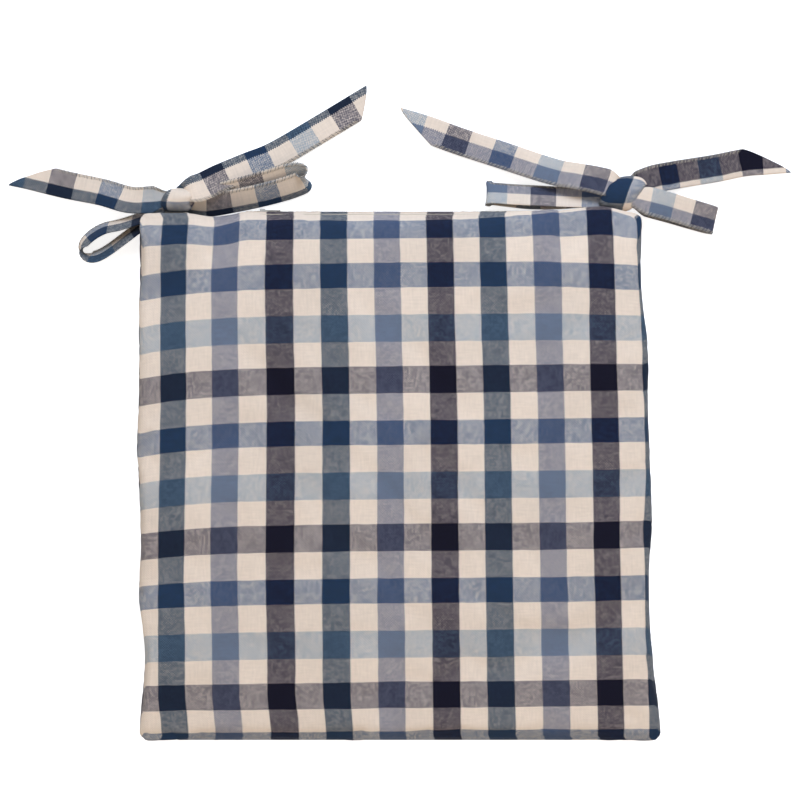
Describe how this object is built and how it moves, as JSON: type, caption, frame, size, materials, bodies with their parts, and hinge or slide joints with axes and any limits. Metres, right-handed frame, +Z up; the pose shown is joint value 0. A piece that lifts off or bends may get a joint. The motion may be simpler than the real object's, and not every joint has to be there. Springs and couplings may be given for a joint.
{
  "type": "chair seat pad",
  "caption": "Square boxed foam seat pad in a checked cotton cover with a zipped back seam and a fabric strap tied in a bow at each back corner.",
  "frame": {"origin": "middle of the pad's flat underside", "axes": "+Z up out of the seat face, +Y to the back edge with the ties, +X to the right seen from above with the ties at the far side"},
  "size_m": [0.6213, 0.5126, 0.04],
  "materials": {
    "check_cotton": "yarn-dyed plain weave cotton, matt",
    "tie_cotton": "yarn-dyed plain weave cotton, folded double, overlocked edge",
    "foam": "open-cell polyurethane foam",
    "zip_tape": "woven polyester tape",
    "zip_coil": "nylon coil",
    "zip_metal": "nickel-plated, worn satin",
    "label_satin": "white satin ribbon, blank",
    "sewing_thread": "polyester sewing thread"
  },
  "bodies": {
    "pad": {"foam_core": "foam", "top_cover": "check_cotton", "bottom_cover": "check_cotton", "zip_upper_tape": "zip_tape", "zip_lower_tape": "zip_tape", "zip_upper_coil": "zip_coil", "zip_lower_coil": "zip_coil", "zip_top_stops": "zip_metal", "zip_bottom_stop": "zip_metal", "left_tie_root": "tie_cotton", "left_tie_bartack": "sewing_thread", "left_knot": "tie_cotton", "right_tie_root": "tie_cotton", "right_tie_bartack": "sewing_thread", "right_knot": "tie_cotton"},
    "zip_slider": {"zip_slider": "zip_metal"},
    "zip_pull_tab": {"zip_pull_tab": "zip_metal"},
    "care_label": {"care_label": "label_satin"},
    "left_outer_loop": {"left_outer_loop": "tie_cotton"},
    "left_outer_tail": {"left_outer_tail": "tie_cotton"},
    "left_inner_loop": {"left_inner_loop": "tie_cotton"},
    "left_inner_tail": {"left_inner_tail": "tie_cotton"},
    "right_inner_loop": {"right_inner_loop": "tie_cotton"},
    "right_inner_tail": {"right_inner_tail": "tie_cotton"},
    "right_outer_tail": {"right_outer_tail": "tie_cotton"},
    "right_outer_loop": {"right_outer_loop": "tie_cotton"}
  },
  "joints": [
    {"name": "zip_slider_run", "type": "slide", "parent": "pad", "child": "zip_slider", "axis": [1, 0, 0], "range_m": [0, 0.2085]},
    {"name": "zip_pull_swing", "type": "hinge", "parent": "zip_slider", "child": "zip_pull_tab", "pos_m": [-0.1045, 0.2069, 0.02], "axis": [0, 0, 1], "range_deg": [0, 60]},
    {"name": "care_label_flap", "type": "hinge", "parent": "pad", "child": "care_label", "pos_m": [-0.19785, 0.05801, 0.0197], "axis": [0.0147, 0.9999, 0], "range_deg": [0, 85]},
    {"name": "left_outer_loop_lift", "type": "hinge", "parent": "pad", "child": "left_outer_loop", "pos_m": [-0.186, 0.21575, 0.027], "axis": [-0.4985, 0.8669, 0], "range_deg": [0, 25]},
    {"name": "left_outer_tail_lift", "type": "hinge", "parent": "left_outer_loop", "child": "left_outer_tail", "pos_m": [-0.184, 0.21825, 0.0323], "axis": [0.1942, 0.981, 0], "range_deg": [0, 60]},
    {"name": "left_inner_loop_lift", "type": "hinge", "parent": "pad", "child": "left_inner_loop", "pos_m": [-0.1565, 0.21475, 0.028], "axis": [0.225, -0.9744, 0], "range_deg": [0, 25]},
    {"name": "left_inner_tail_lift", "type": "hinge", "parent": "left_inner_loop", "child": "left_inner_tail", "pos_m": [-0.1545, 0.22375, 0.0363], "axis": [0.4664, -0.8846, 0], "range_deg": [0, 60]},
    {"name": "right_inner_loop_lift", "type": "hinge", "parent": "pad", "child": "right_inner_loop", "pos_m": [0.16, 0.218, 0.027], "axis": [0.0715, 0.9974, 0], "range_deg": [0, 25]},
    {"name": "right_inner_tail_lift", "type": "hinge", "parent": "right_inner_loop", "child": "right_inner_tail", "pos_m": [0.1585, 0.2285, 0.0353], "axis": [0.3289, 0.9444, 0], "range_deg": [0, 60]},
    {"name": "right_outer_tail_lift", "type": "hinge", "parent": "pad", "child": "right_outer_tail", "pos_m": [0.1925, 0.23051, 0.022], "axis": [0.1736, -0.9848, 0], "range_deg": [0, 25]},
    {"name": "right_outer_loop_lift", "type": "hinge", "parent": "right_outer_tail", "child": "right_outer_loop", "pos_m": [0.1945, 0.216, 0.02695], "axis": [-0.2351, -0.972, 0], "range_deg": [0, 60]}
  ]
}
